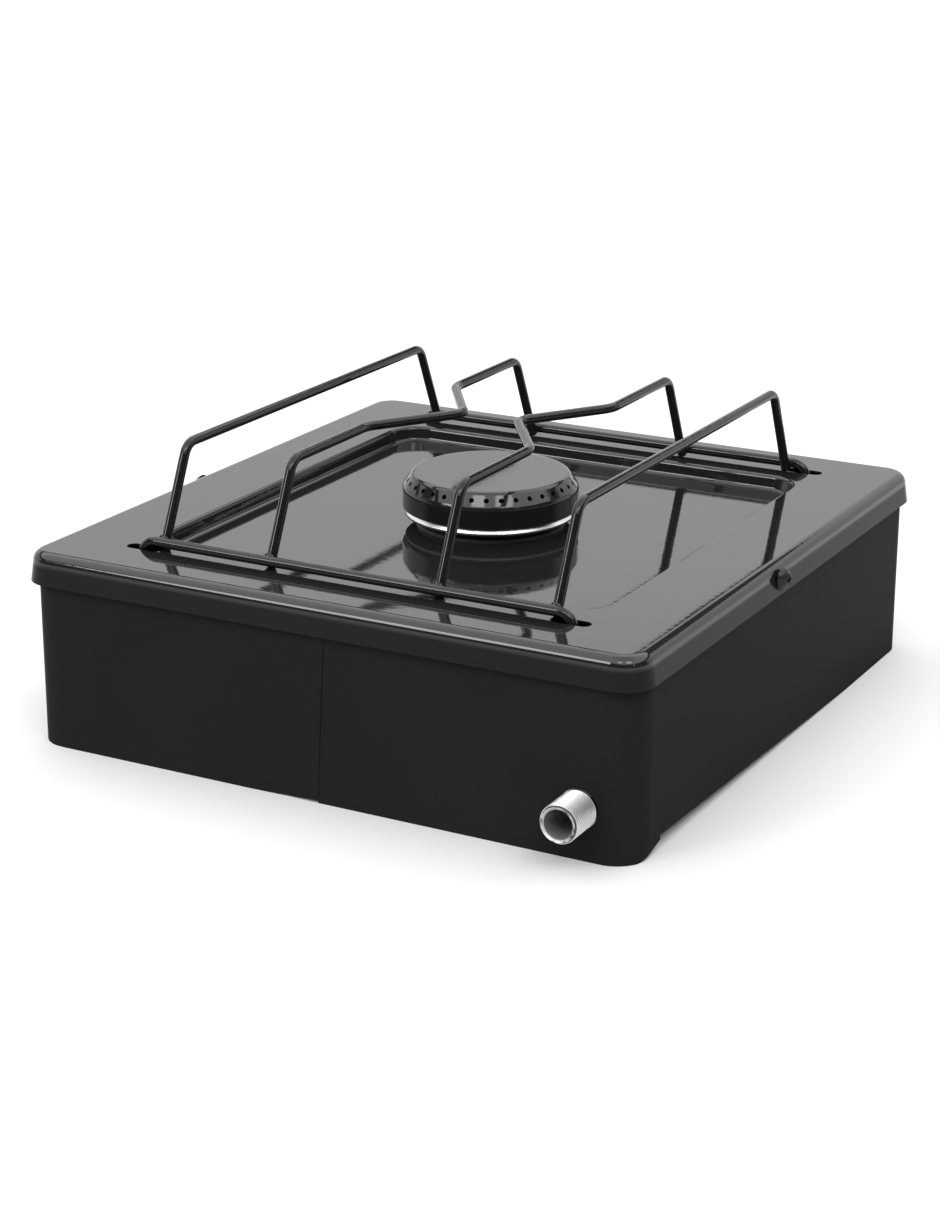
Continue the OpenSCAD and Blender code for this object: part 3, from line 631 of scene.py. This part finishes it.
class STOVE_OT_gas_path(bpy.types.Operator):
    """Plate the inlet, its bracket and the pipe, and turn the brass"""

    bl_idname = "stove.gas_path"
    bl_label = "Finish the gas path"

    def execute(self, context):
        own = context.scene.stove_finishes
        zinc_stub(list(own.zinc)).on("gas_inlet")
        zinc_sheet("plated_pipe", shade(own.zinc, 0.8), 0.5).on("gas_pipe")
        zinc_sheet("plated_fittings", shade(own.zinc, 0.88)).on(
            "inlet_bracket", "hob_nuts", "tap_screws", "spindle")
        turned_brass(list(own.brass)).on("tap_body", "tap_plug", "injector", "pipe_nuts")
        return {"FINISHED"}


class STOVE_OT_dial(bpy.types.Operator):
    """Enamel the dial plate and print its marks"""

    bl_idname = "stove.dial"
    bl_label = "Finish the dial"

    def execute(self, context):
        own, sizes = context.scene.stove_finishes, context.scene.stove_sizes
        plate = enamel("dial_enamel", shade(own.enamel, 1.1), own, waviness=0.1, rough=0.1)
        plate.on("dial_plate")
        centre = (DIAL_LOW + DIAL_HIGH) / 2
        face_y = DIAL_LOW.y
        knob_r = (KNOB_HIGH.x - KNOB_LOW.x) / 2
        dial_r = (DIAL_HIGH.x - DIAL_LOW.x) / 2
        band_r = (knob_r + dial_r) / 2
        mesh = bmesh.new()

        def outline(points):
            """A thin plate with this outline, standing on the face of the dial."""
            rings = [
                ring_of(mesh, [(centre.x + u, y, centre.z + w) for u, w in points])
                for y in (face_y + sizes.mark_t, face_y - sizes.mark_t)
            ]
            skin(mesh, rings)

        def at(angle, radius):
            return radius * math.sin(angle), radius * math.cos(angle)

        # off: a dot over the spindle
        dot_r, around = 1.1 * MM, 20
        u, w = at(0, band_r)
        outline([(u + dot_r * math.cos(t), w + dot_r * math.sin(t))
                 for t in [2 * math.pi * k / around for k in range(around)]])

        # the flame: a wedge from wide to narrow, and a large and a small drop
        widest, narrowest = 1.3 * MM, 0.25 * MM
        start, end, steps = math.radians(62), math.radians(196), 40
        sweep = [start + (end - start) * k / steps for k in range(steps + 1)]
        half = [widest + (narrowest - widest) * k / steps for k in range(steps + 1)]
        outline([at(a, band_r + h) for a, h in zip(sweep, half)]
                + [at(a, band_r - h) for a, h in reversed(list(zip(sweep, half)))])
        plump, sharpness, around = 0.62, 1.5, 24
        for angle, tall in ((math.radians(40), 1.9 * MM), (math.radians(212), 1.1 * MM)):
            u, w = at(angle, band_r)
            drop = []
            for k in range(around):
                t = 2 * math.pi * k / around
                narrow = math.sin(t / 2) ** sharpness
                drop.append((u + plump * tall * math.sin(t) * narrow, w + tall * math.cos(t)))
            outline(drop)
        add_piece("dial_marks", mesh, printed_mark(list(own.print_white)), "stove")
        return {"FINISHED"}


class STOVE_OT_knob(bpy.types.Operator):
    """Mould the knob: a fluted skirt, a rounded grip bar and its pointer"""

    bl_idname = "stove.knob"
    bl_label = "Mould the knob"

    def execute(self, context):
        own, sizes = context.scene.stove_finishes, context.scene.stove_sizes
        plastic = moulded_plastic(list(own.plastic))
        centre = (KNOB_LOW + KNOB_HIGH) / 2
        back_y, front_y = KNOB_HIGH.y, KNOB_LOW.y
        radius = (KNOB_HIGH.x - KNOB_LOW.x) / 2
        skirt_h, chamfer, dome = 4 * MM, 0.3 * MM, 0.15 * MM
        skirt_y = back_y - skirt_h
        edge = sizes.knob_round
        arc = [math.radians(a) for a in range(0, 91, 15)]
        mesh = bmesh.new()

        # the skirt, turned about the spindle, with its flutes
        around = sizes.flutes * 8
        profile = [
            (radius - 2 * MM, back_y), (radius - chamfer, back_y), (radius, back_y - chamfer)]
        profile += [
            (radius - edge + edge * math.cos(a), skirt_y + edge - edge * math.sin(a)) for a in arc]
        profile += [(radius * 0.72, skirt_y - dome), (radius * 0.5, skirt_y - dome)]
        full_r, fading_r = radius - edge * 0.9, radius - edge * 1.1
        rings = []
        for r, y in profile:
            cut = sizes.flute_depth * (1.0 if r > full_r else 0.35 if r > fading_r else 0.0)
            points = []
            for k in range(around):
                t = 2 * math.pi * k / around
                flute = 0.5 - 0.5 * math.cos(t * sizes.flutes)
                here = r - cut * flute ** 2
                points.append((centre.x + here * math.sin(t), y, centre.z + here * math.cos(t)))
            rings.append(ring_of(mesh, points))
        skin(mesh, rings)

        # the grip bar: one outline, carried forward and rounded over at the front
        end_gap, largest_bend = 1.2 * MM, 3.2 * MM
        draft, flare, shoulder = 0.9 * MM, 0.35 * MM, 0.8 * MM

        def grip(inset, y):
            half_w = sizes.grip_w / 2 - inset
            reach = radius - end_gap - inset
            bend = min(half_w * 0.98, largest_bend)
            points = []
            for cx, cz, first in ((1, 1, 0), (-1, 1, 90), (-1, -1, 180), (1, -1, 270)):
                for k in range(9):
                    t = math.radians(first + 90 * k / 8)
                    points.append((
                        centre.x + cx * (half_w - bend) + bend * math.cos(t),
                        y,
                        centre.z + cz * (reach - bend) + bend * math.sin(t),
                    ))
            return ring_of(mesh, points)

        rings = [
            grip(-flare, skirt_y + 0.5 * MM),
            grip(-flare, skirt_y - 0.2 * MM),
            grip(0.0, skirt_y - shoulder),
        ]
        sides = 4
        last = front_y + 0.08 * MM + edge
        for k in range(1, sides + 1):
            share = k / sides
            y = skirt_y - shoulder + (last - skirt_y + shoulder) * share
            rings.append(grip(draft * share, y))
        rings += [
            grip(draft + edge - edge * math.cos(a), last - edge * math.sin(a)) for a in arc[1:]]
        skin(mesh, rings)
        knob = add_piece("control_knob", mesh, plastic, "knob", 40)
        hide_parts("knob")

        # the pointer: a white bar inlaid in the front of the grip
        mesh = bmesh.new()
        half_w, top, foot = 0.7 * MM, radius - 3.6 * MM, radius * 0.30
        inlay_depth = 0.6 * MM
        turn = [math.pi * k / 12 for k in range(13)]
        outline = [(half_w * math.cos(t), top - half_w + half_w * math.sin(t)) for t in turn]
        outline += [(half_w * math.cos(math.pi + t), foot + half_w + half_w * math.sin(math.pi + t))
                    for t in turn]
        rings = [ring_of(mesh, [(centre.x + u, y, centre.z + w) for u, w in outline])
                 for y in (front_y + inlay_depth, front_y)]
        skin(mesh, rings)
        add_piece("knob_pointer", mesh, printed_mark(list(own.print_white)), "knob")
        return {"FINISHED"}


# ---------- operators: the studio ----------

class STOVE_OT_studio(bpy.types.Operator):
    """Lay the floor and light it softly"""

    bl_idname = "stove.studio"
    bl_label = "Build the studio"

    def execute(self, context):
        studio = context.scene.stove_studio
        mesh = bmesh.new()
        around = [2 * math.pi * k / 96 for k in range(96)]
        rings = [ring_of(mesh, [(r * math.cos(t), r * math.sin(t), 0) for t in around])
                 for r in (0.3, 2.0, 12.0, 60.0)]
        skin(mesh, rings, capped=False)
        mesh.faces.new(rings[0])
        data = bpy.data.meshes.new("floor")
        mesh.to_mesh(data)
        mesh.free()
        floor = bpy.data.objects.new("floor", data)
        context.scene.collection.objects.link(floor)
        paper = Finish("white_paper", IOR=1.3, Specular_IOR_Level=0.1)
        fibre = paper.grain(300.0, 3.0)
        paper.set("Base Color", paper.blend(fibre, shade(studio.floor, 0.985), list(studio.floor)))
        paper.set("Roughness", 0.9 + fibre * 0.05)
        paper.relief(fibre * 0.00002)
        paper.on(floor)

        def height(degrees):
            return math.sin(math.radians(degrees))

        # a bright sweep behind the stove, a dark gap over it, and a pale ceiling all round
        dim_low, dim_high = height(14.0), height(19.0)
        sweep_top, gap_low = height(26.2), height(27.0)
        gap_top, ceiling_low = height(33.0), height(35.0)
        overhead, straight_up = height(60.0), 1.0
        pale = 1.05
        sky = Sky("soft_studio")
        x, y, z = (sky.place.part(k) for k in range(3))
        behind = y * math.cos(studio.azimuth) - x * math.sin(studio.azimuth)
        fade = 0.84 + z.smooth(dim_low, dim_high) * 0.2
        sweep = behind.smooth(-0.1, 0.2) * (1 - z.smooth(sweep_top, gap_low)) * fade
        ceiling = z.smooth(gap_top, ceiling_low) * (1 - z.smooth(overhead, straight_up) * 0.3)
        room = sweep * studio.horizon + ceiling * studio.ceiling + studio.gap
        # seen past the end of the floor the room is pale; only its light has the gap
        seen = sky.node("LightPath", {}, {})
        sky.set("Color", room * (1 - seen) + seen * pale)
        context.scene.world = sky.world

        for name, azimuth, elevation, spread, strength in (
            ("soft_box", 149.0, 28.0, 17.0, 0.75 * studio.key),
            ("soft_edge", 244.0, 24.0, 7.0, 0.06 * studio.key),
            ("soft_front_left", 187.0, 51.0, 14.0, 0.3 * studio.key),
            ("soft_front_right", 230.0, 51.0, 18.0, 0.45 * studio.key),
        ):
            lamp = bpy.data.lights.new(name, "SUN")
            lamp.energy = strength
            lamp.angle = math.radians(spread)
            hung = bpy.data.objects.new(name, lamp)
            a, e = math.radians(azimuth), math.radians(elevation)
            towards = Vector((math.sin(a) * math.cos(e), -math.cos(a) * math.cos(e), math.sin(e)))
            hung.rotation_euler = towards.to_track_quat("Z", "Y").to_euler()
            context.scene.collection.objects.link(hung)
        context.scene.view_settings.view_transform = "Standard"
        return {"FINISHED"}


class STOVE_OT_camera(bpy.types.Operator):
    """Place the camera"""

    bl_idname = "stove.camera"
    bl_label = "Place the camera"

    def execute(self, context):
        studio = context.scene.stove_studio
        a, e, roll = studio.azimuth, studio.elevation, studio.roll
        right = Vector((math.cos(a), math.sin(a), 0))
        back = Vector((math.sin(a) * math.cos(e), -math.cos(a) * math.cos(e), math.sin(e)))
        up = back.cross(right)
        side = right * math.cos(roll) + up * math.sin(roll)
        top = up * math.cos(roll) - right * math.sin(roll)
        data = bpy.data.cameras.new("camera")
        data.lens = studio.lens
        data.sensor_width = 36.0
        data.clip_start, data.clip_end = 0.05, 200.0
        camera = bpy.data.objects.new("camera", data)
        context.scene.collection.objects.link(camera)
        turned = Matrix((side, top, back)).transposed().to_4x4()
        camera.matrix_world = Matrix.Translation(
            side * studio.aside + top * studio.above + back * studio.distance) @ turned
        context.scene.camera = camera
        return {"FINISHED"}


STEPS = (
    STOVE_OT_camera, STOVE_OT_hob, STOVE_OT_case, STOVE_OT_support, STOVE_OT_burner,
    STOVE_OT_gas_path, STOVE_OT_dial, STOVE_OT_knob, STOVE_OT_studio,
)
GROUPS = {"stove_finishes": StoveFinishes, "stove_sizes": StoveSizes, "stove_studio": StoveStudio}


class STOVE_PT_steps(bpy.types.Panel):
    """The stove's steps and settings"""

    bl_idname = "STOVE_PT_steps"
    bl_label = "Camping stove"
    bl_space_type = "VIEW_3D"
    bl_region_type = "UI"
    bl_category = "Stove"

    def draw(self, context):
        for name, group in GROUPS.items():
            box = self.layout.box()
            box.label(text=group.__doc__)
            for key in group.__annotations__:
                box.prop(getattr(context.scene, name), key)
        for step in STEPS:
            self.layout.operator(step.bl_idname)


def register():
    for group in GROUPS.values():
        bpy.utils.register_class(group)
    for step in STEPS:
        bpy.utils.register_class(step)
    bpy.utils.register_class(STOVE_PT_steps)
    for name, group in GROUPS.items():
        setattr(bpy.types.Scene, name, PointerProperty(type=group))


def unregister():
    for name in GROUPS:
        delattr(bpy.types.Scene, name)
    for kind in (STOVE_PT_steps, *reversed(STEPS), *GROUPS.values()):
        bpy.utils.unregister_class(kind)


def main():
    register()
    for step in STEPS:
        family, name = step.bl_idname.split(".")
        getattr(getattr(bpy.ops, family), name)()


if __name__ == "__main__":
    main()
